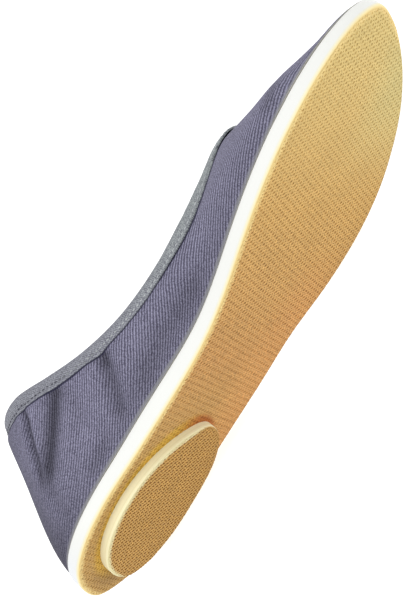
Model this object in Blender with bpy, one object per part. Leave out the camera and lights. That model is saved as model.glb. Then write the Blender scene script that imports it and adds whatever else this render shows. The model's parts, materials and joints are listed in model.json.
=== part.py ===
# Ballet flat, left shoe: a hollow twill upper with a bound collar, on a thin foam and rubber sole
# with an oval pad under the heel.
# Every piece is modelled standing: X runs from the heel's end to the toe, Y to the wearer's outer
# side and Z up from the ground. An empty then lays the whole shoe on its outer side.
# Sizes and tables are in millimetres, and meshes are made in metres.

import math
from collections import namedtuple

import bmesh
import bpy
import numpy as np
from mathutils import Matrix, Vector

MM = 0.001
GAP = 0.3
SHARP_ANGLE = 35
PLACE_STEPS = 600

# Sole: thickness of each layer, the heights that its underside follows, and where the foam is fuller
OUTSOLE_THICK = 1.5
MIDSOLE_THICK = 5.1
INSOLE_THICK = 2.0
LIFT_HEIGHT = 4.5
ARCH_RISE = 0.2
ARCH_START, ARCH_END = 62.0, 122.0
WAIST_START, BALL_START = 45.0, 148.0
SPRING_START, SPRING_RISE = 205.0, 6.0
WAIST_FULLNESS = 1.2
FULL_START, FULL_END = 45.0, 135.0
TOE_THINNING = 1.4
TREAD_THICK = 1.4
EDGE_ROUND = 1.0
EDGE_BREAK = 0.5
RUNGS = 44
PAD_RUNGS = 20

# Upper: its wall, how far it stands in from the sole's edge, and the tape over its collar
WALL = 1.6
UPPER_INSET = 0.7
INSOLE_INSET = 4.0
INSOLE_TOE_END = (239.0, -14.5)
TAPE_WIDTH = 4.4
TAPE_THICK = 0.8
SPOKES_PER_SECTION = 3
WALL_ROWS = 11
OUTWARD_LEAD = 14.0
CURVE_STEPS = 40

# The sole's outline seen from above: how far along from the heel's end, and the edge on each side
OutlineRow = namedtuple("OutlineRow", "along medial lateral")
HEEL_END = (0.0, 1.0)
TOE_TIP = (250.0, -15.0)
SOLE_OUTLINE = (
    OutlineRow(4.0, -9.5, 11.5),
    OutlineRow(14.0, -20.3, 21.6),
    OutlineRow(30.0, -26.9, 26.8),
    OutlineRow(46.0, -28.0, 28.2),
    OutlineRow(70.0, -25.0, 30.6),
    OutlineRow(98.0, -23.4, 32.0),
    OutlineRow(122.0, -24.9, 31.6),
    OutlineRow(144.0, -29.8, 37.0),
    OutlineRow(165.0, -35.7, 39.6),
    OutlineRow(186.0, -40.2, 36.9),
    OutlineRow(204.0, -42.0, 29.5),
    OutlineRow(222.0, -40.0, 19.2),
    OutlineRow(237.0, -32.9, 7.0),
    OutlineRow(246.0, -24.2, -4.0),
)

# The heel pad's outline, the same way
PAD_HEEL_END = (12.0, 6.0)
PAD_TOE_END = (82.6, 7.0)
PAD_OUTLINE = (
    OutlineRow(15.5, -5.6, 14.0),
    OutlineRow(26.0, -15.6, 21.0),
    OutlineRow(46.0, -20.4, 25.2),
    OutlineRow(64.0, -16.4, 24.8),
    OutlineRow(77.6, -5.2, 17.6),
)

# Sections of the upper from the toe to the heel. Each runs from a foot on the sole's edge up to the
# collar: where the foot is along the shoe, the collar's place and height on each side, how far the
# wall climbs from its foot, how many degrees it swells out there on each side, and how steeply and
# how far it leaves the collar.
Section = namedtuple(
    "Section",
    "foot_along collar_along medial_y lateral_y medial_z lateral_z"
    " climb medial_swell lateral_swell slope reach",
)
SECTIONS = (
    Section(250.0, 177.5, -0.8, -0.8, 45.6, 45.6, 0.6, 0, 0, 29, 46),
    Section(245.0, 177.2, -2.8, 1.2, 45.1, 45.1, 0.7, 0, 0, 30, 46),
    Section(230.0, 176.5, -4.9, 3.4, 44.3, 44.3, 2.4, 0, 4, 31, 41),
    Section(211.0, 175.1, -7.2, 5.8, 43.0, 42.9, 7.6, 4, 12, 32, 32),
    Section(192.0, 172.8, -9.9, 8.6, 41.4, 41.2, 9.5, 6, 30, 37, 26),
    Section(175.0, 168.8, -13.2, 12.0, 38.9, 38.5, 11.0, 6, 35, 44, 20),
    Section(160.0, 161.8, -17.0, 16.2, 35.9, 35.1, 10.5, 6, 35, 54, 15),
    Section(145.0, 150.2, -21.2, 20.8, 32.8, 31.7, 9.5, 6, 26, 66, 11),
    Section(127.0, 131.0, -24.1, 23.9, 31.9, 30.6, 8.0, 6, 8, 78, 8),
    Section(105.0, 107.8, -25.3, 25.0, 35.4, 34.0, 8.0, 6, 6, 84, 8),
    Section(82.0, 85.6, -25.5, 25.2, 43.6, 42.3, 10.0, 4, 4, 84, 10),
    Section(60.0, 65.6, -24.6, 24.6, 54.8, 53.8, 13.0, 2, 2, 82, 13),
    Section(38.0, 52.0, -22.2, 22.4, 61.8, 61.2, 15.0, 0, 0, 78, 15),
    Section(18.0, 40.8, -17.0, 17.4, 66.0, 65.8, 15.0, 0, 0, 72, 16),
    Section(5.0, 32.6, -9.2, 9.8, 68.4, 68.4, 15.0, 0, 0, 67, 17),
    Section(0.0, 29.6, 0.3, 0.3, 69.1, 69.1, 15.0, 0, 0, 65, 17),
)

# How heavy each material is, in grams per cubic centimetre, to find where the shoe balances
Finish = namedtuple("Finish", "colour roughness density")
TAN_RUBBER = Finish((0.53, 0.34, 0.13), 0.75, 1.2)
PALE_FOAM = Finish((0.84, 0.83, 0.78), 0.7, 1.2)
CREAM_FOAM = Finish((0.82, 0.70, 0.42), 0.7, 1.2)
LILAC_TWILL = Finish((0.19, 0.18, 0.24), 0.9, 0.3)
GREY_TAPE = Finish((0.21, 0.22, 0.25), 0.85, 0.3)
SOCK_CLOTH = Finish((0.60, 0.58, 0.53), 0.9, 0.3)


def smooth_step(low, high, x):
    share = np.clip((np.asarray(x, float) - low) / (high - low), 0.0, 1.0)
    return share * share * (3.0 - 2.0 * share)


def toe_share(along):
    """How far into the sprung toe a place is: none up to the ball, and all of it at the tip."""
    along = np.asarray(along, float)
    return np.clip((along - SPRING_START) / (TOE_TIP[0] - SPRING_START), 0.0, None) ** 2


def sole_bottom(along):
    """Height of the outsole's underside: raised heel, slight arch, flat ball and sprung toe."""
    along = np.asarray(along, float)
    heel = LIFT_HEIGHT * (1.0 - smooth_step(WAIST_START, BALL_START, along))
    share = np.clip((along - ARCH_START) / (ARCH_END - ARCH_START), 0.0, 1.0)
    arch = ARCH_RISE * np.sin(math.pi * share) ** 2
    return heel + arch + SPRING_RISE * toe_share(along)


def above_sole(height):
    return lambda along: sole_bottom(along) + height


def above_foam(height):
    """A height over the foam layer, which is fuller at the waist and thins towards the toe."""

    def rule(along):
        share = np.clip((np.asarray(along, float) - FULL_START) / (FULL_END - FULL_START), 0.0, 1.0)
        fuller = WAIST_FULLNESS * np.sin(math.pi * share) ** 2
        return sole_bottom(along) + height + fuller - TOE_THINNING * toe_share(along)

    return rule


def level(height):
    return lambda along: np.full(np.shape(along), height)


def through(knots, rows, where, period):
    """Values at the places in where, on a smooth closed curve through the rows of a table."""
    knots = np.r_[knots[-2:] - period, knots, knots[:3] + period]
    rows = np.vstack([rows[-2:], rows, rows[:3]])
    step = np.diff(knots)[:, None]
    slope = np.diff(rows, axis=0) / step
    tangent = np.zeros_like(rows)
    tangent[1:-1] = (slope[:-1] * step[1:] + slope[1:] * step[:-1]) / (step[:-1] + step[1:])
    gap = np.searchsorted(knots, where, side="right") - 1
    share = ((where - knots[gap]) / step[gap, 0])[:, None]
    start, end = rows[gap], rows[gap + 1]
    leave, arrive = tangent[gap] * step[gap], tangent[gap + 1] * step[gap]
    return (
        start
        + leave * share
        + (3 * (end - start) - 2 * leave - arrive) * share**2
        + (2 * (start - end) + leave + arrive) * share**3
    )


class Plan:
    """A closed outline seen from above: heel end, medial side, toe end, lateral side and back."""

    def __init__(self, heel_end, rows, toe_end):
        medial = [(row.along, row.medial) for row in rows]
        lateral = [(row.along, row.lateral) for row in reversed(rows)]
        self.corners = np.array([heel_end, *medial, toe_end, *lateral], float)
        chords = np.linalg.norm(np.roll(self.corners, -1, axis=0) - self.corners, axis=1)
        self.knots = np.r_[0.0, np.cumsum(chords[:-1])]
        self.length = chords.sum()
        self.toe = self.knots[len(rows) + 1]

    def at(self, place):
        return through(self.knots, self.corners, np.mod(place, self.length), self.length)

    def outward(self, place):
        step = self.length / PLACE_STEPS
        ahead = self.at(place + step) - self.at(place - step)
        ahead /= np.linalg.norm(ahead, axis=1)[:, None]
        return np.c_[ahead[:, 1], -ahead[:, 0]] * self.turn()

    def turn(self):
        x, y = self.corners.T
        return math.copysign(1.0, np.sum(x * np.roll(y, -1) - np.roll(x, -1) * y))

    def places_along(self, along, start, end):
        """Where the side between two ends of the outline reaches each distance along the shoe."""
        fine = np.linspace(start, end, PLACE_STEPS)
        reached = self.at(fine)[:, 0]
        order = np.argsort(reached)
        return np.interp(along, reached[order], fine[order])

    def medial_places(self, along):
        return self.places_along(along, 0.0, self.toe)

    def lateral_places(self, along):
        return self.places_along(along, self.toe, self.length)

    def ladder(self, rungs):
        """Places in pairs across the outline, closer together towards its ends."""
        heel, toe = self.corners[0, 0], self.at(np.array([self.toe]))[0, 0]
        turn = np.linspace(0.0, math.pi, rungs + 1)[1:-1]
        along = heel + (toe - heel) * (1.0 - np.cos(turn)) / 2.0
        medial, lateral = self.medial_places(along), self.lateral_places(along)
        return np.r_[0.0, medial, self.toe, lateral[::-1]]


Piece = namedtuple("Piece", "item finish")


def make_piece(name, bm, finish, root):
    bmesh.ops.recalc_face_normals(bm, faces=bm.faces)
    mesh = bpy.data.meshes.new(name)
    bm.to_mesh(mesh)
    bm.free()
    mesh.shade_smooth()
    mesh.set_sharp_from_angle(angle=math.radians(SHARP_ANGLE))
    material = bpy.data.materials.new(name)
    material.use_nodes = True
    shader = material.node_tree.nodes["Principled BSDF"]
    shader.inputs["Base Color"].default_value = (*finish.colour, 1.0)
    shader.inputs["Roughness"].default_value = finish.roughness
    shader.inputs["Metallic"].default_value = 0.0
    mesh.materials.append(material)
    item = bpy.data.objects.new(name, mesh)
    bpy.context.scene.collection.objects.link(item)
    item.parent = root
    return Piece(item, finish)


def add_loop(bm, points):
    return [bm.verts.new(Vector(point) * MM) for point in points]


def bridge(bm, first, second):
    for a, b in zip(range(len(first)), np.roll(range(len(first)), -1)):
        bm.faces.new((first[a], first[b], second[b], second[a]))


def cap(bm, loop):
    """Close a loop made by Plan.ladder with its own rungs."""
    count = len(loop)
    bm.faces.new((loop[0], loop[1], loop[-1]))
    for near in range(1, count // 2 - 1):
        bm.faces.new((loop[near], loop[near + 1], loop[count - near - 1], loop[count - near]))
    bm.faces.new((loop[count // 2 - 1], loop[count // 2], loop[count // 2 + 1]))


def slab(name, plan, rungs, rings, finish, root):
    """A layer with the plan's outline. Each ring, top to bottom, has an inset and a height rule."""
    places = plan.ladder(rungs)
    edge, outward = plan.at(places), plan.outward(places)
    bm = bmesh.new()
    loops = []
    for inset, height in rings:
        x, y = (edge - inset * outward).T
        loops.append(add_loop(bm, np.c_[x, y, height(x)]))
    for upper_loop, lower_loop in zip(loops, loops[1:]):
        bridge(bm, upper_loop, lower_loop)
    cap(bm, loops[0])
    cap(bm, loops[-1])
    return make_piece(name, bm, finish, root)


def sock_plan():
    """The insole's outline: inside the upper's wall, and short of the toe, where the vamp is low."""
    rows = [
        OutlineRow(row.along, row.medial + INSOLE_INSET, row.lateral - INSOLE_INSET)
        for row in SOLE_OUTLINE[1:-2]
    ]
    heel_end = (HEEL_END[0] + INSOLE_INSET, HEEL_END[1])
    return Plan(heel_end, rows, INSOLE_TOE_END)


def sole_layers(sole, root):
    outsole_top = OUTSOLE_THICK
    midsole_low = outsole_top + GAP
    midsole_top = midsole_low + MIDSOLE_THICK
    insole_low = midsole_top + GAP
    half_round = EDGE_ROUND * (1.0 - math.sqrt(0.5))
    outsole_rings = (
        (0.0, above_sole(outsole_top)),
        (0.0, above_sole(EDGE_ROUND)),
        (half_round, above_sole(half_round)),
        (EDGE_ROUND, above_sole(0.0)),
    )
    midsole_rings = (
        (EDGE_BREAK, above_foam(midsole_top)),
        (0.0, above_foam(midsole_top - EDGE_BREAK)),
        (0.0, above_sole(midsole_low)),
    )
    insole_rings = (
        (EDGE_BREAK, above_foam(insole_low + INSOLE_THICK)),
        (0.0, above_foam(insole_low + INSOLE_THICK - EDGE_BREAK)),
        (0.0, above_foam(insole_low)),
    )
    return [
        slab("outsole", sole, RUNGS, outsole_rings, TAN_RUBBER, root),
        slab("midsole", sole, RUNGS, midsole_rings, PALE_FOAM, root),
        slab("insole", sock_plan(), RUNGS, insole_rings, SOCK_CLOTH, root),
    ]


def heel_pad(root):
    pad = Plan(PAD_HEEL_END, PAD_OUTLINE, PAD_TOE_END)
    lift_rings = (
        (0.0, above_sole(-GAP)),
        (0.0, level(TREAD_THICK + GAP)),
    )
    tread_rings = (
        (0.0, level(TREAD_THICK)),
        (0.0, level(EDGE_BREAK)),
        (EDGE_BREAK, level(0.0)),
    )
    return [
        slab("heel_lift", pad, PAD_RUNGS, lift_rings, CREAM_FOAM, root),
        slab("heel_tread", pad, PAD_RUNGS, tread_rings, TAN_RUBBER, root),
    ]


def spokes(sole):
    """Feet and collar points of the upper all round, with how the wall leaves each of them."""
    medial = np.array([(row.collar_along, row.medial_y, row.medial_z) for row in SECTIONS])
    lateral = np.array([(row.collar_along, row.lateral_y, row.lateral_z) for row in SECTIONS])
    shape = np.array([(row.climb, row.slope, row.reach) for row in SECTIONS])
    medial_swell = np.array([row.medial_swell for row in SECTIONS])
    lateral_swell = np.array([row.lateral_swell for row in SECTIONS])
    along = np.array([row.foot_along for row in SECTIONS])
    medial_feet = sole.toe - sole.medial_places(along)
    lateral_feet = sole.toe - sole.lateral_places(along)
    feet = np.r_[medial_feet, lateral_feet[-2:0:-1] + sole.length]
    collar = np.vstack([medial, lateral[-2:0:-1]])
    swell = np.r_[medial_swell, lateral_swell[-2:0:-1]]
    rules = np.column_stack([np.vstack([shape, shape[-2:0:-1]]), swell])
    count = len(feet)
    turn = feet - np.arange(count) * sole.length / count
    table = np.column_stack([turn, collar, rules])
    where = np.arange(count * SPOKES_PER_SECTION) / SPOKES_PER_SECTION
    rows = through(np.arange(count, dtype=float), table, where, float(count))
    place = sole.toe - (rows[:, 0] + where * sole.length / count)
    return place, rows[:, 1:4], rows[:, 4:]


def wall_profiles(sole):
    """The upper's outer face, a row of points up each spoke, and which way each foot faces outward."""
    place, collar, rules = spokes(sole)
    outward = sole.outward(place)
    foot_plan = sole.at(place) - UPPER_INSET * outward
    foot_height = above_foam(OUTSOLE_THICK + MIDSOLE_THICK + 2 * GAP)
    foot = np.c_[foot_plan, foot_height(foot_plan[:, 0])]
    heading = foot_plan - collar[:, :2] + OUTWARD_LEAD * outward
    heading /= np.linalg.norm(heading, axis=1)[:, None]
    climb, slope, reach, swell = rules.T[:, :, None]
    slope, swell = np.radians(slope), np.radians(swell)
    foot_handle = foot + climb * np.c_[outward * np.sin(swell), np.cos(swell)]
    collar_handle = collar + reach * np.c_[heading * np.cos(slope), -np.sin(slope)]
    fine = np.linspace(0.0, 1.0, CURVE_STEPS + 1)[:, None]
    profiles = []
    for ends in zip(foot, foot_handle, collar_handle, collar):
        curve = (
            ends[0] * (1 - fine) ** 3
            + ends[1] * 3 * fine * (1 - fine) ** 2
            + ends[2] * 3 * fine**2 * (1 - fine)
            + ends[3] * fine**3
        )
        run = np.r_[0.0, np.cumsum(np.linalg.norm(np.diff(curve, axis=0), axis=1))]
        below_tape = np.linspace(0.0, run[-1] - TAPE_WIDTH, WALL_ROWS - 1)
        stops = np.r_[below_tape, run[-1] - TAPE_WIDTH / 2, run[-1]]
        profiles.append(np.column_stack([np.interp(stops, run, axis) for axis in curve.T]))
    return np.array(profiles), outward


def outer_normals(profiles, outward):
    """Which way the wall faces at each point, and straight outwards along its foot."""
    around = np.roll(profiles, -1, axis=0) - np.roll(profiles, 1, axis=0)
    up = np.gradient(profiles, axis=1)
    normals = np.cross(up, around)
    normals /= np.linalg.norm(normals, axis=2)[:, :, None]
    centre = profiles.mean(axis=(0, 1))
    normals *= math.copysign(1.0, np.sum(normals * (profiles - centre)))
    normals[:, 0] = np.c_[outward, np.zeros(len(outward))]
    return normals


def upper_wall(profiles, normals, root):
    bm = bmesh.new()
    outer = [add_loop(bm, row) for row in profiles.swapaxes(0, 1)]
    inner = [add_loop(bm, row) for row in (profiles - WALL * normals).swapaxes(0, 1)]
    for skin in (outer, inner):
        for lower, higher in zip(skin, skin[1:]):
            bridge(bm, lower, higher)
    bridge(bm, outer[0], inner[0])
    bridge(bm, outer[-1], inner[-1])
    return make_piece("upper", bm, LILAC_TWILL, root)


def collar_tape(profiles, normals, root):
    """Tape folded over the collar's edge: out of the upper's own top rows, a gap off each face."""
    rows, out = profiles[:, -3:], normals[:, -3:]
    edge, edge_out = rows[:, 2], out[:, 2]
    lip = edge - rows[:, 1]
    lip /= np.linalg.norm(lip, axis=1)[:, None]
    face, back = GAP, -(WALL + GAP)
    skin_face, skin_back = face + TAPE_THICK, back - TAPE_THICK
    fold = GAP + TAPE_THICK
    section = [rows[:, k] + skin_face * out[:, k] for k in range(3)]
    section.append(edge + face * edge_out + fold * lip)
    section.append(edge + back * edge_out + fold * lip)
    section += [rows[:, k] + skin_back * out[:, k] for k in (2, 1, 0)]
    section += [rows[:, k] + back * out[:, k] for k in (0, 1)]
    section.append(edge + back * edge_out + GAP * lip)
    section.append(edge + face * edge_out + GAP * lip)
    section += [rows[:, k] + face * out[:, k] for k in (1, 0)]
    bm = bmesh.new()
    loops = [add_loop(bm, points) for points in section]
    for first, second in zip(loops, loops[1:] + loops[:1]):
        bridge(bm, first, second)
    return make_piece("collar_binding", bm, GREY_TAPE, root)


def points_of(piece):
    return np.array([vertex.co for vertex in piece.item.data.vertices])


def balance_point(pieces):
    weight, moment = 0.0, np.zeros(3)
    for piece in pieces:
        mesh = piece.item.data
        mesh.calc_loop_triangles()
        corners = points_of(piece)[[triangle.vertices[:] for triangle in mesh.loop_triangles]]
        volume = np.einsum("ij,ij->i", corners[:, 0], np.cross(corners[:, 1], corners[:, 2])) / 6
        weight += piece.finish.density * volume.sum()
        moment += piece.finish.density * (volume[:, None] * corners.sum(axis=1) / 4).sum(axis=0)
    return Vector(moment / weight)


def carries(face, centre):
    """Whether a weight at centre, pulled straight down on to the face, lands inside it."""
    corners = [vert.co for vert in face.verts]
    sides = zip(corners, corners[1:] + corners[:1])
    return all((b - a).cross(centre - a).dot(face.normal) >= 0 for a, b in sides)


def lying_pose(pieces):
    """Turn that sets the shoe on its outer side, on the face of its hull that it balances on."""
    centre = balance_point(pieces)
    points = np.vstack([points_of(piece) for piece in pieces])
    bm = bmesh.new()
    for point in points:
        bm.verts.new(point)
    bmesh.ops.convex_hull(bm, input=bm.verts)
    bmesh.ops.recalc_face_normals(bm, faces=bm.faces)
    resting = [face for face in bm.faces if carries(face, centre)]
    down = max(resting, key=lambda face: face.normal.y).normal.copy()
    bm.free()
    up = -down
    ahead = (Vector((1, 0, 0)) - up * up.x).normalized()
    turn = Matrix((ahead, up.cross(ahead), up))
    placed = points @ np.array(turn).T
    low, high = placed.min(axis=0), placed.max(axis=0)
    shift = -Vector(((low[0] + high[0]) / 2, (low[1] + high[1]) / 2, low[2]))
    return Matrix.Translation(shift) @ turn.to_4x4()


def main():
    for item in list(bpy.data.objects):
        bpy.data.objects.remove(item)
    root = bpy.data.objects.new("shoe", None)
    bpy.context.scene.collection.objects.link(root)
    sole = Plan(HEEL_END, SOLE_OUTLINE, TOE_TIP)
    profiles, outward = wall_profiles(sole)
    normals = outer_normals(profiles, outward)
    pieces = sole_layers(sole, root) + heel_pad(root)
    pieces.append(upper_wall(profiles, normals, root))
    pieces.append(collar_tape(profiles, normals, root))
    root.matrix_world = lying_pose(pieces)


if __name__ == "__main__":
    main()
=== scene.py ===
import json
import math
import bpy
import numpy as np
from mathutils import Matrix, Vector
from mathutils.kdtree import KDTree

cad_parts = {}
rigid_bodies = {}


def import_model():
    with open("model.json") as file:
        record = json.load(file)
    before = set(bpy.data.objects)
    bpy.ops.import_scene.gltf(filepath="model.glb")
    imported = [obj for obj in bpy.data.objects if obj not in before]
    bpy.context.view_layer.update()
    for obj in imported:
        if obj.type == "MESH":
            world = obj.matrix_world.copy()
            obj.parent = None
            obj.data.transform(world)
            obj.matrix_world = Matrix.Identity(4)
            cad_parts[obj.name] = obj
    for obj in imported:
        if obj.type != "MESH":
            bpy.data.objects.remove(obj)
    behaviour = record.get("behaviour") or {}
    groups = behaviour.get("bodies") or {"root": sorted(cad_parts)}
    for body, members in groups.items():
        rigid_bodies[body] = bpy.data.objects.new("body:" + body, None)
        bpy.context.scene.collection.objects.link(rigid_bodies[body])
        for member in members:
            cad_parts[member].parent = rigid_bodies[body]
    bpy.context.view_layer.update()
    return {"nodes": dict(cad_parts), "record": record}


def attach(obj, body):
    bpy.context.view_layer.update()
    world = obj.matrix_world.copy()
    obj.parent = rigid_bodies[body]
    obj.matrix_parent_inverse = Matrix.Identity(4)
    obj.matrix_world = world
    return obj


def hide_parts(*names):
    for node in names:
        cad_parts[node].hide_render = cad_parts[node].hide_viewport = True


# Ballet flat, left shoe, lying on its outer side. Sizes in the dictionaries are millimetres.
# A pair of places is a range: a share grows over it, from none at the first place to all at the second.
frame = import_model()
nodes = frame["nodes"]
mm = 0.001
tiny = 1e-9  # anything shorter has no direction

# The shoe's own axes, from its two resting faces: X to the toe, Y to the outer side, Z up from the sole
mounts = {mount["name"]: mount for mount in frame["record"]["mounts"]}
heelRestAlong = 45.0  # the heel's resting point is this far from the heel's end
heelRest = Vector(mounts["heel_rest"]["pos_m"])
toeward = (Vector(mounts["forefoot_rest"]["pos_m"]) - heelRest).normalized()
upward = -Vector(mounts["heel_rest"]["axis"]).normalized()
outerward = upward.cross(toeward)
shoeTurn = Matrix((toeward, outerward, upward)).transposed()
shoeOrigin = heelRest - toeward * heelRestAlong * mm
turnArray = np.array(shoeTurn)
originArray = np.array(shoeOrigin)


def deselectAll():
    bpy.ops.object.select_all(action="DESELECT")


def activate(piece):
    deselectAll()
    piece.select_set(True)
    bpy.context.view_layer.objects.active = piece


def toWorld(points):
    return np.asarray(points) @ turnArray.T * mm + originArray


def toShoe(points):
    return (np.asarray(points) - originArray) @ turnArray / mm


def shoePoints(piece):
    flat = np.empty(len(piece.data.vertices) * 3)
    piece.data.vertices.foreach_get("co", flat)
    return toShoe(flat.reshape(-1, 3))


def shoeNormals(piece):
    return np.array([vertex.normal for vertex in piece.data.vertices]) @ turnArray


def setShoePoints(piece, points):
    piece.data.vertices.foreach_set("co", toWorld(points).ravel())
    piece.data.update()


def storeValue(piece, name, values):
    attribute = piece.data.attributes.new(name, "FLOAT", "POINT")
    attribute.data.foreach_set("value", np.asarray(values, np.float32))


def storePlaces(piece):
    places = piece.data.attributes.new("shoePlace", "FLOAT_VECTOR", "POINT")
    places.data.foreach_set("vector", shoePoints(piece).astype(np.float32).ravel())


def subdivide(piece, levels):
    activate(piece)
    modifier = piece.modifiers.new("refine", "SUBSURF")
    modifier.levels = levels
    modifier.render_levels = levels
    bpy.ops.object.modifier_apply(modifier=modifier.name)


def unit(vectors):
    return vectors / np.maximum(np.linalg.norm(vectors, axis=-1, keepdims=True), tiny)


def smoothStep(low, high, values):
    share = np.clip((np.asarray(values) - low) / (high - low), 0, 1)
    return share * share * (3 - 2 * share)


def bell(values, middle=0, reach=1):
    return np.exp(-((values - middle) / reach) ** 2)


def treeOf(points):
    tree = KDTree(len(points))
    for index, point in enumerate(points):
        tree.insert(point, index)
    tree.balance()
    return tree


def nearest(tree, points):
    found = [tree.find(point) for point in points]
    spots = np.array([index for place, index, gap in found])
    return spots, np.array([gap for place, index, gap in found])


meshSet = {
    "mergeGap": 1e-5,  # metres
    "sharpAngle": 50,  # degrees between faces at an edge that is held, and at one that is shaded sharp
}


# A node's own shape as clean quads, with its sharp edges held to a share before it is refined
def copyNode(nodeName, pieceName, hold):
    activate(nodes[nodeName])
    bpy.ops.object.duplicate()
    piece = bpy.context.active_object
    piece.name = pieceName
    piece.data.name = pieceName
    piece.parent = None
    for key in list(piece.keys()):
        del piece[key]
    piece.data.materials.clear()
    bpy.ops.object.mode_set(mode="EDIT")
    bpy.ops.mesh.customdata_custom_splitnormals_clear()
    bpy.ops.mesh.select_all(action="SELECT")
    bpy.ops.mesh.remove_doubles(threshold=meshSet["mergeGap"])
    bpy.ops.mesh.tris_convert_to_quads(face_threshold=math.pi, shape_threshold=math.pi)
    bpy.ops.mesh.select_mode(type="EDGE")
    bpy.ops.mesh.select_all(action="DESELECT")
    bpy.ops.mesh.edges_select_sharp(sharpness=math.radians(meshSet["sharpAngle"]))
    bpy.ops.mesh.mark_seam()
    bpy.ops.transform.edge_crease(value=hold)
    bpy.ops.mesh.select_mode(type="FACE")
    bpy.ops.mesh.select_all(action="DESELECT")
    bpy.ops.object.mode_set(mode="OBJECT")
    return piece


def finishPiece(piece, materials, nodeName=None):
    activate(piece)
    bpy.ops.object.shade_smooth_by_angle(angle=math.radians(meshSet["sharpAngle"]))
    for material in materials:
        piece.data.materials.append(material)
    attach(piece, "root")
    if nodeName:
        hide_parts(nodeName)
    print("made", piece.name, len(piece.data.polygons), "faces")


# One mesh of many copies of the same faces, from the points of each copy in shoe millimetres
def joinCopies(name, points, faces):
    copies, count = points.shape[:2]
    joined = [[corner + count * copy for corner in face] for copy in range(copies) for face in faces]
    mesh = bpy.data.meshes.new(name)
    mesh.from_pydata(toWorld(points.reshape(-1, 3)).tolist(), [], joined)
    piece = bpy.data.objects.new(name, mesh)
    bpy.context.scene.collection.objects.link(piece)
    storePlaces(piece)
    return piece


# A screen colour of 0 to 255 as the linear colour that shaders take
def linear(red, green, blue):
    shares = [channel / 255 for channel in (red, green, blue)]
    curve = [s / 12.92 if s <= 0.04045 else ((s + 0.055) / 1.055) ** 2.4 for s in shares]
    return (*curve, 1.0)


# Shader building: each call adds one node and wires or sets its inputs
def addNode(tree, kind, inputs=None, **settings):
    node = tree.nodes.new(kind)
    for key, value in settings.items():
        setattr(node, key, value)
    for key, value in (inputs or {}).items():
        if isinstance(value, bpy.types.NodeSocket):
            tree.links.new(value, node.inputs[key])
        else:
            node.inputs[key].default_value = value
    return node


def calc(tree, operation, first, second=0.0, third=0.0):
    wires = {0: first, 1: second, 2: third}
    return addNode(tree, "ShaderNodeMath", wires, operation=operation).outputs[0]


def times(tree, first, second):
    return calc(tree, "MULTIPLY", first, second)


# From a wave of -1 to 1 to a share
def waveShare(tree, wave):
    return calc(tree, "MULTIPLY_ADD", wave, 0.5, 0.5)


# One smooth ripple for each whole number that the count passes
def ripple(tree, count):
    return waveShare(tree, calc(tree, "COSINE", times(tree, count, 2 * math.pi)))


# A share made to swing evenly about nothing
def aboutZero(tree, share, swing):
    return calc(tree, "MULTIPLY_ADD", share, swing, -swing / 2)


def ease(tree, value, low, high, start=0.0, end=1.0):
    wires = {"Value": value, "From Min": low, "From Max": high, "To Min": start, "To Max": end}
    return addNode(tree, "ShaderNodeMapRange", wires, interpolation_type="SMOOTHSTEP").outputs[0]


# Either side is a wire, or a plain colour by its screen values
def blend(tree, share, first, second, mode="MIX"):
    first, second = [linear(*side) if isinstance(side, tuple) else side for side in (first, second)]
    wires = {0: share, 6: first, 7: second}
    return addNode(tree, "ShaderNodeMix", wires, data_type="RGBA", blend_type=mode).outputs[2]


def noise(tree, place, scale, detail=2.0, roughness=0.5):
    wires = {"Vector": place, "Scale": scale, "Detail": detail, "Roughness": roughness}
    return addNode(tree, "ShaderNodeTexNoise", wires).outputs[0]


def storedValue(tree, name):
    return addNode(tree, "ShaderNodeAttribute", attribute_name=name).outputs["Fac"]


# Where a point is on the shoe, and that place's parts along and across it
def storedPlace(tree):
    place = addNode(tree, "ShaderNodeAttribute", attribute_name="shoePlace").outputs["Vector"]
    parts = addNode(tree, "ShaderNodeSeparateXYZ", {0: place})
    return place, parts.outputs[0], parts.outputs[1]


def ramp(tree, value, stops):
    node = addNode(tree, "ShaderNodeValToRGB", {0: value})
    elements = node.color_ramp.elements
    while len(elements) < len(stops):
        elements.new(0.5)
    for element, (position, colour) in zip(elements, stops):
        element.position = position
        element.color = linear(*colour)
    return node.outputs[0]


def newGroup(name, inputs, outputs):
    tree = bpy.data.node_groups.new(name, "ShaderNodeTree")
    for label, kind, value in inputs:
        socket = tree.interface.new_socket(label, in_out="INPUT", socket_type=kind)
        if value is not None:
            socket.default_value = value
    for label, kind in outputs:
        tree.interface.new_socket(label, in_out="OUTPUT", socket_type=kind)
    return tree, addNode(tree, "NodeGroupInput"), addNode(tree, "NodeGroupOutput")


def useGroup(tree, group, inputs):
    return addNode(tree, "ShaderNodeGroup", inputs, node_tree=group).outputs[0]


# A look has a roughness, and a gloss where that isn't the shader's own
def newMaterial(name, look):
    material = bpy.data.materials.new(name)
    material.use_nodes = True
    tree = material.node_tree
    tree.nodes.clear()
    shader = addNode(tree, "ShaderNodeBsdfPrincipled", {"Roughness": look["roughness"]})
    if "gloss" in look:
        shader.inputs["Specular IOR Level"].default_value = look["gloss"]
    output = addNode(tree, "ShaderNodeOutputMaterial")
    tree.links.new(shader.outputs[0], output.inputs[0])
    return material, tree, shader


# Gives a shader its colour, and a bump where there is a height
def dress(tree, shader, colour, height=None, strength=0.0, depth=0.0):
    tree.links.new(colour, shader.inputs["Base Color"])
    if height is not None:
        wires = {"Height": height, "Strength": strength, "Distance": depth * mm}
        tree.links.new(addNode(tree, "ShaderNodeBump", wires).outputs[0], shader.inputs["Normal"])


# Camera: the photo's own angle to the shoe, worked out in the shoe's axes
cameraSet = {
    "target": (132.17, -22.20, 10.0),
    "distance": 600.0,
    "azimuth": 21.772,
    "elevation": -28.151,
    "roll": -62.549,
    "lens": 103.56,
    "sensor": 36.0,
}


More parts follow.
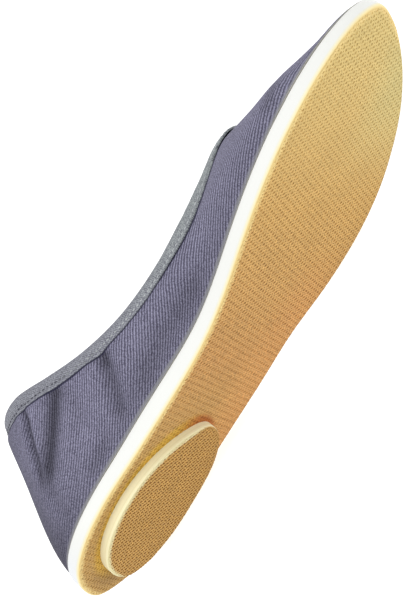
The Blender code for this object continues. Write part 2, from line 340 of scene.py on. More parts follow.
def placeCamera():
    azimuth, elevation, roll = (math.radians(cameraSet[key]) for key in ("azimuth", "elevation", "roll"))
    back = Vector((
        math.sin(azimuth) * math.cos(elevation),
        -math.cos(azimuth) * math.cos(elevation),
        math.sin(elevation),
    ))
    level = (Vector((1, 0, 0)) - back * back.x).normalized()
    upright = back.cross(level)
    right = math.cos(roll) * level + math.sin(roll) * upright
    up = math.cos(roll) * upright - math.sin(roll) * level
    place = Vector(cameraSet["target"]) + back * cameraSet["distance"]
    data = bpy.data.cameras.new("camera")
    data.sensor_fit = "VERTICAL"
    data.sensor_height = cameraSet["sensor"]
    data.lens = cameraSet["lens"]
    camera = bpy.data.objects.new("camera", data)
    bpy.context.scene.collection.objects.link(camera)
    turn = shoeTurn @ Matrix((right, up, back)).transposed()
    camera.matrix_world = Matrix.Translation(Vector(toWorld(place))) @ turn.to_4x4()
    bpy.context.scene.camera = camera


placeCamera()
print("camera placed")

# Creases of the inner side, as lines of (along, height): soft troughs with a lip on either side,
# and painted shade in each trough by its shade share.
# A depth below nothing is a swell.
creaseSet = [
    {"line": [(52.5, 59), (51.6, 56.9), (50.1, 53.9), (47.3, 50.2), (44.2, 45.6), (41.1, 41),
              (37.2, 37), (33.4, 33.4), (31, 30.5)],
     "depth": 1.7, "width": 1.8, "lip": 0.5, "shade": 0.52, "open": 0.04, "close": 0.28},
    {"line": [(70, 48.5), (68.2, 47.1), (64.5, 45.3), (60.3, 43), (56, 40.8), (51.4, 38.4),
              (46.7, 36), (41, 33.2), (35, 30.6), (31, 28.5)],
     "depth": 1.2, "width": 3.9, "lip": 0.35, "shade": 0.68, "open": 0.03, "close": 0.3},
    {"line": [(92.5, 37), (91.3, 34.7), (88.7, 30.7), (85.2, 26.3), (81.1, 21.5), (77.7, 17.4), (74, 13)],
     "depth": 1.5, "width": 3.4, "lip": 0.35, "shade": 0.42, "open": 0.03},
    {"line": [(94, 36), (91.5, 34.3), (88, 31)],
     "depth": 0.5, "width": 1.8, "lip": 0.1, "shade": 0.4, "open": 0.1},
    {"line": [(118, 25), (130, 23.5), (145, 23), (160, 24), (172, 25.5), (182, 27), (190, 27)],
     "depth": -1.6, "width": 6.5, "lip": 0, "shade": 0},
    {"line": [(150, 13), (135.5, 14.5), (124.9, 16.3), (112.1, 18.3), (100.8, 17.9), (91.7, 16.7),
              (83.7, 15.8), (77, 14)],
     "depth": 0.9, "width": 5.0, "lip": 0.15, "shade": 0.3},
    {"line": [(70, 19), (66.7, 18.2), (60.6, 17.5), (54.7, 16.4), (50, 15)],
     "depth": 0.8, "width": 2.6, "lip": 0.3, "shade": 0.22},
    {"line": [(75, 43), (73, 40.9), (69.7, 36), (65.3, 31.5), (62, 28)],
     "depth": 0.6, "width": 2.8, "lip": 0.3, "shade": 0.16},
    {"line": [(35, 32), (34.6, 26), (33.7, 20.2), (33.4, 14)],
     "depth": 0.7, "width": 3.0, "lip": 0.4, "shade": 0.1},
    {"line": [(216, 17), (210, 15), (203, 11)],
     "depth": 0.5, "width": 3.5, "lip": 0.2, "shade": 0.3},
]
creaseRule = {
    "open": 0.22,  # share of a crease's length over which its start dies away, unless it has its own
    "close": 0.33,  # the same at its end
    "deepClose": 0.44,  # its depth dies away sooner there than its shade
    "lipReach": 2.1,  # how many widths out a lip lies
    "innerSide": (-4, -12),
    "sideRun": 30,  # over this length in front of the heel's bend, creases turn to press straight inwards
    "sideLead": 60,
}
heelMiddle = 35.0  # behind this the wall bends round the heel


def creaseShift(points):
    shift = np.zeros(len(points))
    light = np.ones(len(points))
    flat = points[:, (0, 2)]
    for crease in creaseSet:
        line = np.array(crease["line"], float)
        steps = np.diff(line, axis=0)
        lengths = np.linalg.norm(steps, axis=1)
        starts = np.r_[0, np.cumsum(lengths)]
        best = np.full(len(points), np.inf)
        along = np.zeros(len(points))
        for corner, step, length, start in zip(line, steps, lengths, starts):
            share = np.clip((flat - corner) @ step / length**2, 0, 1)
            gap = np.linalg.norm(flat - corner - share[:, None] * step, axis=1)
            closer = gap < best
            best = np.where(closer, gap, best)
            along = np.where(closer, (start + share * length) / starts[-1], along)
        fade = smoothStep(0, crease.get("open", creaseRule["open"]), along)
        fade = fade * smoothStep(0, crease.get("close", creaseRule["close"]), 1 - along)
        reach = best / crease["width"]
        trough = bell(reach)
        lips = bell(reach, creaseRule["lipReach"])
        # painted shade in the trough
        light *= 1 - fade * crease["shade"] * trough
        fade = fade * smoothStep(0, creaseRule["deepClose"], 1 - along)
        shift += fade * crease["depth"] * (crease["lip"] * lips - trough)
    inner = smoothStep(*creaseRule["innerSide"], points[:, 1])
    return shift * inner, (1 - light) * inner


def outwardField(points):
    field = np.zeros_like(points)
    field[:, 0] = np.minimum(points[:, 0] - heelMiddle, 0)
    sides = smoothStep(heelMiddle, heelMiddle + creaseRule["sideRun"], points[:, 0])
    field[:, 1] = points[:, 1] + np.sign(points[:, 1]) * sides * creaseRule["sideLead"]
    return unit(field)


def crumple(points, held):
    shift, shade = creaseShift(points)
    return points + outwardField(points) * (shift * held)[:, None], shade


# Upper: one cloth wall with twill ribs, from a seam at the back of the heel round the toe
upperSet = {
    "hold": 1.0,
    "levels": 2,
    "footDrop": 0.2,
    "lowPlaces": [0, 70, 140, 205, 250],
    "lowHeights": [14, 14, 10, 10, 14.5],  # the wall's foot lies below these heights and its collar above
    "pathStep": 0.5,
    "tapeFree": (-1, 3),  # gaps to the tape over which the cloth's creases come free of it
    "toeBulge": 1.0,
    "toeAlong": (195, 222),
    "toeBand": 2,  # how high above the foot the toe bulges, and over what reach
    "backBulge": 1.5,
    "backAlong": (50, 30),
    "backAcross": (6, -8),
    "backReach": 17,
    "bulgeFree": (-1, 1.5),  # gaps to the tape
    "vampBulge": 0.9,
    "vampMiddle": 213,
    "vampReach": 10,
    "vampAcross": (-14, -30),
    "vampFree": (2, 6),  # gaps to the wall's foot
    "seamY": 0.65,
    "seamBand": 1.2,
    "leanPlaces": [0, 20, 45, 60, 75, 105, 140, 165, 190, 250],
    "leanDegrees": [6, 12, 24, 31, 33, 30, 27, 22, 11, 10],  # how steeply the ribs climb to the toe
    "ribSteps": [1.1, 1.1, 1.1, 1.1, 1.1, 1.14, 1.22, 1.2, 1.0, 0.9],
    "forwardRun": 25,  # over this length in front of the heel's bend, ribs turn to follow the shoe
    "shoulderLean": 12,  # more climb, and wider steps, where the inner side turns over to the top
    "shoulderStep": 0.85,
    "shoulderFacing": (0.12, 0.6),
    "shoulderAcross": (-5, -20),
    "shoulderStart": (80, 120),
    "shoulderEnd": (225, 175),
}


def pickOuterFaces(piece):
    activate(piece)
    centres = toShoe([face.center for face in piece.data.polygons])
    piece.data.polygons[int(np.argmin(centres[:, 1]))].select = True
    bpy.ops.object.mode_set(mode="EDIT")
    bpy.ops.mesh.select_linked(delimit={"SEAM"})
    bpy.ops.object.mode_set(mode="OBJECT")
    for face in piece.data.polygons:
        face.material_index = 0 if face.select else 1
    return [face for face in piece.data.polygons if face.select]


# Gives each corner of the outer wall its place along the ribs in millimetres and across them in ribs
def layRibs(piece, faces):
    points = shoePoints(piece)
    normals = shoeNormals(piece)
    seamY = upperSet["seamY"]
    atSeam = (np.abs(points[:, 1] - seamY) < upperSet["seamBand"]) & (points[:, 0] < heelMiddle)
    keys = {}
    ties = set()
    corners = {}
    for face in faces:
        far = face.center @ outerward > shoeOrigin @ outerward + seamY * mm
        ring = [(vertex, bool(atSeam[vertex] and far)) for vertex in face.vertices]
        numbers = [keys.setdefault(key, len(keys)) for key in ring]
        for loop, number in zip(face.loop_indices, numbers):
            corners[loop] = number
        for first, second in zip(numbers, numbers[1:] + numbers[:1]):
            ties.add((min(first, second), max(first, second)))
    listed = sorted(keys, key=keys.get)
    verts = np.array([vertex for vertex, far in listed])
    far = np.array([seam or points[vertex, 1] > seamY for vertex, seam in listed])
    place, facing = points[verts], normals[verts]
    along = place[:, 0]
    side = np.where(far, -1.0, 1.0)
    roundHeel = unit(np.column_stack([-facing[:, 1] * side, facing[:, 0] * side, np.zeros(len(place))]))
    ahead = np.array([1.0, 0, 0]) - facing * facing[:, :1]
    share = smoothStep(heelMiddle, heelMiddle + upperSet["forwardRun"], along)[:, None]
    forward = unit(roundHeel * (1 - share) + unit(ahead) * share)
    over = np.cross(facing, forward)
    shoulder = smoothStep(*upperSet["shoulderFacing"], facing[:, 2])
    shoulder = shoulder * smoothStep(*upperSet["shoulderAcross"], place[:, 1])
    shoulder *= smoothStep(*upperSet["shoulderStart"], along) * smoothStep(*upperSet["shoulderEnd"], along)
    lean = np.interp(along, upperSet["leanPlaces"], upperSet["leanDegrees"])
    lean = np.radians(lean + shoulder * upperSet["shoulderLean"])[:, None]
    rib = forward * np.cos(lean) + over * np.sin(lean)
    across = np.cross(facing, rib)
    ribStep = np.interp(along, upperSet["leanPlaces"], upperSet["ribSteps"])
    across /= (ribStep * (1 + shoulder * upperSet["shoulderStep"]))[:, None]
    pairs = np.array(sorted(ties))
    starts, ends = pairs.T
    table = np.zeros((len(pairs) + 1, len(place)))
    table[np.arange(len(pairs)), starts] = -1
    table[np.arange(len(pairs)), ends] = 1
    table[-1, 0] = 1
    step = place[ends] - place[starts]
    aims = [np.einsum("ij,ij->i", step, (way[starts] + way[ends]) / 2) for way in (rib, across)]
    aims = np.column_stack([np.r_[aim, 0] for aim in aims])
    laid = np.linalg.solve(table.T @ table, table.T @ aims)
    layer = piece.data.uv_layers.active or piece.data.uv_layers.new(name="ribs")
    for loop, number in corners.items():
        layer.data[loop].uv = laid[number]


# The points of a rim of the outer wall in order, with the way down the wall and out of it at each
def walkRim(piece, keep, outer):
    points = shoePoints(piece)
    ties = {int(index): [] for index in np.flatnonzero(outer)}
    rimTies = {}
    for edge in piece.data.edges:
        for first, second in (edge.vertices, reversed(edge.vertices)):
            if keep[first]:
                ties.setdefault(first, []).append(second)
                if keep[second] and edge.use_seam:
                    rimTies.setdefault(first, []).append(second)
    start = min(rimTies, key=lambda index: points[index][0])
    order = [start]
    before, here = None, start
    while here != start or len(order) == 1:
        before, here = here, [index for index in rimTies[here] if index != before][0]
        order.append(here)
    order = order[:-1]
    downs, outs = [], []
    for index in order:
        others = [tie for tie in ties[index] if tie not in rimTies]
        gaps = {tie: np.linalg.norm(points[tie] - points[index]) for tie in others}
        down = min((tie for tie in others if outer[tie]), key=gaps.get)
        inside = min((tie for tie in others if not outer[tie]), key=gaps.get)
        downs.append(points[down] - points[index])
        outs.append(points[index] - points[inside])
    return points[order], unit(np.array(downs)), unit(np.array(outs))


# A closed path with points at even steps, and any values of its points at the same places
def denseLoop(points, step, *others):
    closed = np.vstack([points, points[:1]])
    run = np.r_[0, np.cumsum(np.linalg.norm(np.diff(closed, axis=0), axis=1))]
    places = np.arange(0, run[-1] - step / 2, step)
    dense = []
    for table in (points, *others):
        looped = np.vstack([table, table[:1]])
        dense.append(np.column_stack([np.interp(places, run, axis) for axis in looped.T]))
    return dense


# Collar tape: how wide it lies below the collar's edge along the inner side
tapeSet = {
    "hold": 0.55,
    "levels": 2,
    "made": 4.4,
    "places": [0, 32, 40, 52, 60, 70, 76, 84, 92, 98, 110, 125, 140, 155, 168, 178],
    "widths": [3.0, 3.0, 3.9, 4.2, 4.4, 5.0, 4.7, 4.1, 4.7, 3.9, 3.6, 3.9, 5.4, 7.6, 8.6, 8.0],
    "widthAcross": (9, -6),
    "growFrom": 0.8,  # gap to the collar's edge where the tape starts to widen
    "growShare": 0.9,  # share of the made width where it is as wide as it gets
    "liftPlaces": [0, 20, 55, 68, 135, 150, 160, 172],
    "lifts": [0.6, 1.2, 1.2, 0.0, 0.0, 0.7, 1.0, 0.4],  # how far its fold stands above the cloth's edge
    "liftGap": (3.5, 0.8),
    "liftAcross": (6, -6),
    "give": 0.3,  # share of a crease that the tape follows
    "giveEnd": 110,  # in front of this it follows all of it
    "pressPlaces": [60, 110, 140],
    "presses": [0.7, 0.45, 0.0],  # how far either side of the tape is pressed on to the cloth
    "pressInside": (-1.0, -1.7),
    "pressOutside": (-0.4, 0.2),
    "stitchStep": 2.3,
    "stitchLength": 1.5,
    "stitchThick": 0.5,
    "stitchShare": 0.7,  # how far down the tape the stitches run
    "stitchSides": (3.0, -5.0),  # how far out of the wall, and inside it, a row is looked for
    "stitchSegments": 8,
    "stitchRings": 6,
}


def tapeWidth(points):
    inner = np.interp(points[:, 0], tapeSet["places"], tapeSet["widths"])
    return tapeSet["made"] + (inner - tapeSet["made"]) * smoothStep(*tapeSet["widthAcross"], points[:, 1])


def crumpleTape(points):
    return crumple(points, np.where(points[:, 0] < tapeSet["giveEnd"], tapeSet["give"], 1.0))[0]


upper = copyNode("upper", "upperCloth", upperSet["hold"])
outerFaces = pickOuterFaces(upper)
layRibs(upper, outerFaces)
points = shoePoints(upper)
outerVerts = np.zeros(len(points), bool)
for face in outerFaces:
    outerVerts[list(face.vertices)] = True
rimVerts = np.zeros(len(points), bool)
for edge in upper.data.edges:
    if edge.use_seam:
        rimVerts[list(edge.vertices)] = True
low = points[:, 2] < np.interp(points[:, 0], upperSet["lowPlaces"], upperSet["lowHeights"])
footLoop = walkRim(upper, outerVerts & rimVerts & low, outerVerts)[0]
collarLoop, collarDown, collarOut = walkRim(upper, outerVerts & rimVerts & ~low, outerVerts)
print("foot", len(footLoop), "collar", len(collarLoop))
points[rimVerts & low, 2] -= upperSet["footDrop"]
setShoePoints(upper, points)
subdivide(upper, upperSet["levels"])
points = shoePoints(upper)
normals = shoeNormals(upper)
footTree = treeOf(denseLoop(footLoop, upperSet["pathStep"])[0])
collarPath, collarWays, collarFalls = denseLoop(collarLoop, upperSet["pathStep"], collarOut, collarDown)
collarTree = treeOf(collarPath)
storePlaces(upper)
footGap = nearest(footTree, points)[1]
storeValue(upper, "footGap", footGap)
tapeGap = nearest(collarTree, points)[1] - tapeWidth(points)
storeValue(upper, "tapeGap", tapeGap)
held = tapeSet["give"] + (1 - tapeSet["give"]) * smoothStep(*upperSet["tapeFree"], tapeGap)
crumpled, shade = crumple(points, np.where(points[:, 0] < tapeSet["giveEnd"], held, 1.0))
# painted shade of the creases, by which the twill is darkened
storeValue(upper, "creaseShade", shade)
# how far the wall faces back towards the heel, read by the twill for painted shade
storeValue(upper, "heelward", np.maximum(-normals[:, 0], 0))
toeEnd = smoothStep(*upperSet["toeAlong"], points[:, 0])
bulge = upperSet["toeBulge"] * toeEnd * bell(footGap, upperSet["toeBand"], upperSet["toeBand"])
heelBack = smoothStep(*upperSet["backAlong"], points[:, 0])
heelBack = heelBack * smoothStep(*upperSet["backAcross"], points[:, 1])
bulge += upperSet["backBulge"] * heelBack * bell(np.maximum(tapeGap, 0), 0, upperSet["backReach"])
crumpled += unit(normals * (1, 1, 0)) * (bulge * smoothStep(*upperSet["bulgeFree"], tapeGap))[:, None]
vamp = bell(points[:, 0], upperSet["vampMiddle"], upperSet["vampReach"])
vamp = vamp * smoothStep(*upperSet["vampAcross"], points[:, 1]) * smoothStep(*upperSet["vampFree"], footGap)
crumpled += normals * (upperSet["vampBulge"] * vamp)[:, None]
setShoePoints(upper, crumpled)

tape = copyNode("collar_binding", "collarTape", tapeSet["hold"])
subdivide(tape, tapeSet["levels"])
points = shoePoints(tape)
edgeSpot, edgeGap = nearest(collarTree, points)
fromEdge, ways = points - collarPath[edgeSpot], collarWays[edgeSpot]
outBy = np.einsum("ij,ij->i", fromEdge, ways)
downBy = fromEdge - outBy[:, None] * ways
widening = smoothStep(tapeSet["growFrom"], tapeSet["made"] * tapeSet["growShare"], edgeGap)
grow = (tapeWidth(points) / tapeSet["made"] - 1) * widening
press = np.interp(points[:, 0], tapeSet["pressPlaces"], tapeSet["presses"])
press *= smoothStep(*tapeSet["pressInside"], outBy) - smoothStep(*tapeSet["pressOutside"], outBy)
lift = np.interp(points[:, 0], tapeSet["liftPlaces"], tapeSet["lifts"])
lift *= smoothStep(*tapeSet["liftGap"], edgeGap)
lift *= smoothStep(*tapeSet["liftAcross"], points[:, 1])
points += downBy * grow[:, None] + ways * press[:, None] - collarFalls[edgeSpot] * lift[:, None]
setShoePoints(tape, points)
storePlaces(tape)
storeValue(tape, "seamShare", np.linalg.norm(downBy, axis=1) * (1 + grow) / tapeWidth(points))
setShoePoints(tape, crumpleTape(points))


# One row of stitches on each side of the wall: a small bead, pulled long and laid along the tape
def sewTape():
    path, down, out = denseLoop(collarLoop, tapeSet["stitchStep"], collarDown, collarOut)
    along = unit(np.roll(path, -1, axis=0) - np.roll(path, 1, axis=0))
    middles, axes = [], []
    for reach in tapeSet["stitchSides"]:
        sought = path + down * (tapeSet["stitchShare"] * tapeWidth(path))[:, None] + out * reach
        for point, way in zip(toWorld(crumpleTape(sought)), along):
            hit, place, facing, face = tape.closest_point_on_mesh(Vector(point))
            facing = np.array(facing) @ turnArray
            way = unit(way - facing * (way @ facing))
            middles.append(toShoe(place))
            axes.append([way, np.cross(facing, way), facing])
    deselectAll()
    bpy.ops.mesh.primitive_uv_sphere_add(
        segments=tapeSet["stitchSegments"], ring_count=tapeSet["stitchRings"], radius=0.5,
    )
    bead = bpy.context.active_object
    bpy.ops.object.mode_set(mode="EDIT")
    thick = tapeSet["stitchThick"]
    bpy.ops.transform.resize(value=(tapeSet["stitchLength"], thick, thick))
    bpy.ops.object.mode_set(mode="OBJECT")
    corners = np.array([vertex.co for vertex in bead.data.vertices])
    placed = np.array(middles)[:, None, :] + np.einsum("vk,nkc->nvc", corners, np.array(axes))
    faces = [list(face.vertices) for face in bead.data.polygons]
    bpy.data.objects.remove(bead)
    return joinCopies("tapeStitching", placed, faces)


stitching = sewTape()
print("upper, tape and stitches shaped")

# Sole layers: the thin gaps between them are closed, and every point knows how far it looks down
layerSet = {
    "closing": 0.2,
    "hold": 1.0,
    "sockHold": 0.6,
    "levels": 2,
    "flatFacing": 0.25,  # the least upright part of the normal on a layer's top or underside
    "sideFacing": 0.3,  # and the most on its side wall
    "edgeShares": (0, 0.2, 0.4, 0.6, 0.8),
}


def outlineTree(piece):
    points = shoePoints(piece) * (1, 1, 0)
    upright = np.abs(shoeNormals(piece)[:, 2]) < layerSet["sideFacing"]
    ends = np.array([edge.vertices for edge in piece.data.edges])
    ends = points[ends[upright[ends].all(axis=1)]]
    spots = [ends[:, 0] * (1 - share) + ends[:, 1] * share for share in layerSet["edgeShares"]]
    return treeOf(np.concatenate(spots))


def fromOutline(tree, points):
    return nearest(tree, np.column_stack([points[:, :2], np.zeros(len(points))]))[1]


def makeLayer(nodeName, pieceName, rise, sink, hold=layerSet["hold"]):
    piece = copyNode(nodeName, pieceName, hold)
    points = shoePoints(piece)
    facing = shoeNormals(piece)[:, 2]
    points[facing > layerSet["flatFacing"], 2] += rise
    points[facing < -layerSet["flatFacing"], 2] -= sink
    setShoePoints(piece, points)
    subdivide(piece, layerSet["levels"])
    storePlaces(piece)
    storeValue(piece, "facingDown", -shoeNormals(piece)[:, 2])
    storeValue(piece, "edgeGap", fromOutline(outlineTree(piece), shoePoints(piece)))
    return piece


closing = layerSet["closing"]
foam = makeLayer("midsole", "foamEdge", closing, closing)
sheet = makeLayer("outsole", "soleSheet", closing, 0)
core = makeLayer("heel_lift", "heelCore", closing, closing)
tread = makeLayer("heel_tread", "heelTread", closing, 0)
sock = makeLayer("insole", "sockLining", 0, closing, layerSet["sockHold"])

# Moulded skin of an underside: a thin sheet of slanted cells, each with one small pit through it.
# A place has a first and a second count of cells, which grow by the given steps for each millimetre
# along and across. Cells take the two pits by turns, and a pit is given by half its sides, in cells.
soleSkin = {
    "places": [105, 190],
    "first": [(0.083, 0.531), (0.181, 0.655)],
    "second": [(0.649, -0.293), (0.649, -0.293)],
    "pits": ((0.34, 0.3), (0.15, 0.13)), "thick": 0.18, "margin": 1.2,
}
padSkin = {
    "places": [0, 100],
    "first": [(0.723, 0.459), (0.723, 0.459)],
    "second": [(0.444, -0.361), (0.444, -0.361)],
    "pits": ((0.4, 0.25), (0.25, 0.16)), "thick": 0.22, "margin": 0.8,
}
pitSet = {
    "line": (-30, 280, 621),  # the places along the shoe, and how many, that steps are worked out for
    "rounds": 30,
    "longestMove": 40,  # in one round of the search for the place with given counts
    "boxMargin": 3,
    "castFrom": -20,  # height that the underside is looked for from
    "castFacing": -0.9,
    "edgeRounds": 6,
    "clear": 0.02,  # the skin stands this far off its base
    "rimSunk": 0.45,  # how sunk a pit's rim counts, from 0 at a cell's corners to 1 at a pit's bottom
}


def layPits(name, base, skin, covered):
    line = np.linspace(*pitSet["line"])
    steps = [
        np.array([np.interp(line, skin["places"], part) for part in np.transpose(skin[key])])
        for key in ("first", "second")
    ]
    runs = [np.r_[0, np.cumsum((step[0][1:] + step[0][:-1]) / 2 * np.diff(line))] for step in steps]

    def countsAt(places):
        along, sideways = places.T
        return np.column_stack([
            np.interp(along, line, run) + sideways * np.interp(along, line, step[1])
            for run, step in zip(runs, steps)
        ])

    def placesOf(counts):
        places = np.tile([skin["places"][-1], 0.0], (len(counts), 1))
        longest = pitSet["longestMove"]
        for turn in range(pitSet["rounds"]):
            miss = counts - countsAt(places)
            (a, b), (c, d) = [[np.interp(places[:, 0], line, part) for part in step] for step in steps]
            scale = a * d - b * c
            move = np.column_stack([d * miss[:, 0] - b * miss[:, 1], a * miss[:, 1] - c * miss[:, 0]])
            places = places + np.clip(move / scale[:, None], -longest, longest)
        return places

    points = shoePoints(base)
    low, high = points.min(axis=0), points.max(axis=0)
    corners = np.array([(x, y) for x in (low[0], high[0]) for y in (low[1], high[1])])
    reach = countsAt(corners)
    least, most = np.floor(reach.min(axis=0)), np.ceil(reach.max(axis=0))
    firsts, seconds = [np.arange(start, end) for start, end in zip(least, most)]
    cells = np.array([(first, second) for first in firsts for second in seconds])
    ring = np.array([(0, 0), (1, 0), (1, 1), (0, 1)], float)
    pits = [0.5 + (ring - 0.5) * 2 * np.array(size) for size in skin["pits"]]
    shapes = np.array([np.vstack([ring, pit]) for pit in pits])
    turns = (cells.sum(axis=1) % 2).astype(int)
    plan = placesOf((cells[:, None, :] + shapes[turns]).reshape(-1, 2)).reshape(len(cells), 8, 2)
    margin = pitSet["boxMargin"]
    inBox = ((plan > low[:2] - margin) & (plan < high[:2] + margin)).all(axis=(1, 2))
    up = Vector(turnArray[:, 2])

    def castUp(target, spot):
        return target.ray_cast(Vector(toWorld((*spot, pitSet["castFrom"]))), up)

    def touch(spot):
        hit, place, facing, face = castUp(base, spot)
        if hit and np.array(facing) @ turnArray[:, 2] < pitSet["castFacing"]:
            return toShoe(place)
        return None

    def pullIn(spot, middle):
        inside, outside = 0.0, 1.0
        for turn in range(pitSet["edgeRounds"]):
            share = (inside + outside) / 2
            if touch(middle + share * (spot - middle)) is None:
                outside = share
            else:
                inside = share
        return middle + inside * (spot - middle)

    tops = []
    for spots, turn in zip(plan[inBox], turns[inBox]):
        found = [touch(spot) for spot in spots]
        flat = [spot for spot, place in zip(spots, found) if place is not None]
        if len(flat) < 3:
            continue
        if covered and all(castUp(covered, spot)[0] for spot in spots):
            continue
        if len(flat) < 8:  # a cell that crosses the edge is pulled in to it
            middle = np.mean(flat, axis=0)
            edge = np.array([pullIn(spot, middle) for spot in spots[:4]])
            pit = edge.mean(axis=0) + (edge - edge.mean(axis=0)) * 2 * min(skin["pits"][turn])
            found = [touch(spot) for spot in np.vstack([edge, pit])]
        if all(place is not None for place in found):
            tops.append(found)
    tops = np.array(tops)
    gaps = fromOutline(outlineTree(base), tops.reshape(-1, 3)).reshape(-1, 8)
    bottoms = tops[:, 4:].copy()
    bottoms[:, :, 2] -= pitSet["clear"]
    tops[:, :, 2] -= skin["thick"] * smoothStep(0, skin["margin"], gaps) + pitSet["clear"]
    faces = [(k, (k + 1) % 4, 4 + (k + 1) % 4, 4 + k) for k in range(4)]
    faces += [(4 + k, 4 + (k + 1) % 4, 8 + (k + 1) % 4, 8 + k) for k in range(4)]
    faces.append((8, 9, 10, 11))
    piece = joinCopies(name, np.concatenate([tops, bottoms], axis=1), faces)
    storeValue(piece, "facingDown", np.ones(len(piece.data.vertices)))
    storeValue(piece, "edgeGap", np.concatenate([gaps, gaps[:, 4:]], axis=1).ravel())
    storeValue(piece, "sunk", np.tile([0] * 4 + [pitSet["rimSunk"]] * 4 + [1] * 4, len(tops)))
    print(name, len(tops), "cells")
    return piece


grain = layPits("soleGrain", sheet, soleSkin, core)
knurl = layPits("padKnurl", tread, padSkin, None)
print("sole shaped")

# Shared looks: slow mottling, a plain fine weave, and the tan of the underside with painted shade and
# shadows about the heel pad.
# A noise is given as its scale, detail and roughness.
mottleSet = {"slow": (0.06, 3.0, 0.6), "slowShare": 0.65, "quick": (0.6, 2.0, 0.6), "quickShare": 0.35}
mottleGroup, mottleIn, mottleOut = newGroup(
    "mottle",
    [("Place", "NodeSocketVector", None), ("Spread", "NodeSocketFloat", 0.1)],
    [("Share", "NodeSocketFloat")],
)
slow = noise(mottleGroup, mottleIn.outputs["Place"], *mottleSet["slow"])
quick = noise(mottleGroup, mottleIn.outputs["Place"], *mottleSet["quick"])
slow = times(mottleGroup, slow, mottleSet["slowShare"])
quick = times(mottleGroup, quick, mottleSet["quickShare"])
both = calc(mottleGroup, "SUBTRACT", calc(mottleGroup, "ADD", slow, quick), 0.5)
swing = times(mottleGroup, both, mottleIn.outputs["Spread"])
mottleGroup.links.new(calc(mottleGroup, "MULTIPLY_ADD", swing, 2.0, 1.0), mottleOut.inputs["Share"])

weaveSet = {"yarnShare": 0.4, "fuzz": (2.2, 2.0, 0.7), "fuzzShare": 0.6}
weaveGroup, weaveIn, weaveOut = newGroup(
    "fineWeave",
    [("Place", "NodeSocketVector", None), ("Pitch", "NodeSocketFloat", 0.6)],
    [("Height", "NodeSocketFloat")],
)
parts = addNode(weaveGroup, "ShaderNodeSeparateXYZ", {0: weaveIn.outputs["Place"]})
turns = calc(weaveGroup, "DIVIDE", 2 * math.pi, weaveIn.outputs["Pitch"])
first = calc(weaveGroup, "SINE", times(weaveGroup, parts.outputs[0], turns))
upDown = calc(weaveGroup, "ADD", parts.outputs[1], parts.outputs[2])
second = calc(weaveGroup, "SINE", times(weaveGroup, upDown, turns))
crossed = times(weaveGroup, waveShare(weaveGroup, times(weaveGroup, first, second)), weaveSet["yarnShare"])
fuzz = noise(weaveGroup, weaveIn.outputs["Place"], *weaveSet["fuzz"])
mixed = calc(weaveGroup, "MULTIPLY_ADD", fuzz, weaveSet["fuzzShare"], crossed)
weaveGroup.links.new(mixed, weaveOut.inputs["Height"])

toneSet = {
    "heel": (184, 146, 82),
    "waist": (194, 146, 84),
    "ball": (202, 162, 94),
    "toe": (209, 185, 119),
    "outerToe": (203, 186, 124),
    "outerWaist": (205, 153, 89),
    # the last three: painted shade in the corner beside the heel pad, a painted shadow at the pad's front,
    # and one behind it
    "padCornerShade": (202, 160, 56),
    "padFrontShadow": (168, 92, 32),
    "padRearShadow": (132, 100, 58),
}
toneReach = {
    "length": 250.0,
    "stops": [(0.0, "heel"), (0.28, "heel"), (0.45, "waist"), (0.70, "ball"), (0.97, "toe")],
    "outerToe": ((185, 235), (-12, 12)),  # along and across the shoe
    "waist": ((40, 65), (165, 125)),  # along it at either end
    "outerWaist": (2, 26),
    "padMiddle": (47.3, 2.5),
    "padHalf": (35.3, 22.3),
    "padCornerShade": ((1.15, 1.03), (14, -4), 0.85),  # painted corner shade: out from the pad in its own halves, across, and how strong
    "padFrontShadow": ((1.14, 1.05), (68, 80), (-10, 4), 0.9),  # painted shadow at the pad's front: out from the pad, along, across, and how strong
    "padRearShadow": ((1.3, 1.02), (18, 8), 0.7),  # painted shadow behind the pad: out from the pad, along, and how strong
}


def makeTone():
    tree, groupOut = newGroup("soleTone", [], [("Colour", "NodeSocketColor")])[::2]
    along, sideways = storedPlace(tree)[1:]

    def inRange(value, places):
        return ease(tree, value, *places)

    def lay(share, under, name):
        return blend(tree, share, under, toneSet[name])

    stops = [(spot, toneSet[name]) for spot, name in toneReach["stops"]]
    tan = ramp(tree, calc(tree, "DIVIDE", along, toneReach["length"]), stops)
    length, width = toneReach["outerToe"]
    tan = lay(times(tree, inRange(along, length), inRange(sideways, width)), tan, "outerToe")
    start, end = toneReach["waist"]
    waist = times(tree, inRange(along, start), inRange(along, end))
    tan = lay(times(tree, waist, inRange(sideways, toneReach["outerWaist"])), tan, "outerWaist")
    padParts = [
        calc(tree, "DIVIDE", calc(tree, "SUBTRACT", place, middle), half)
        for place, middle, half in zip((along, sideways), toneReach["padMiddle"], toneReach["padHalf"])
    ]
    padSpot = addNode(tree, "ShaderNodeCombineXYZ", dict(enumerate(padParts))).outputs[0]
    fromPad = addNode(tree, "ShaderNodeVectorMath", {0: padSpot}, operation="LENGTH").outputs["Value"]
    # painted shade beside the pad, then painted shadows at its front and behind it
    out, width, strength = toneReach["padCornerShade"]
    beside = times(tree, inRange(fromPad, out), inRange(sideways, width))
    tan = lay(times(tree, beside, strength), tan, "padCornerShade")
    out, length, width, strength = toneReach["padFrontShadow"]
    front = times(tree, inRange(along, length), inRange(sideways, width))
    tan = lay(times(tree, times(tree, inRange(fromPad, out), front), strength), tan, "padFrontShadow")
    out, length, strength = toneReach["padRearShadow"]
    padRearShadow = times(tree, inRange(fromPad, out), inRange(along, length))
    tan = lay(times(tree, padRearShadow, strength), tan, "padRearShadow")
    tree.links.new(tan, groupOut.inputs["Colour"])
    return tree


toneGroup = makeTone()
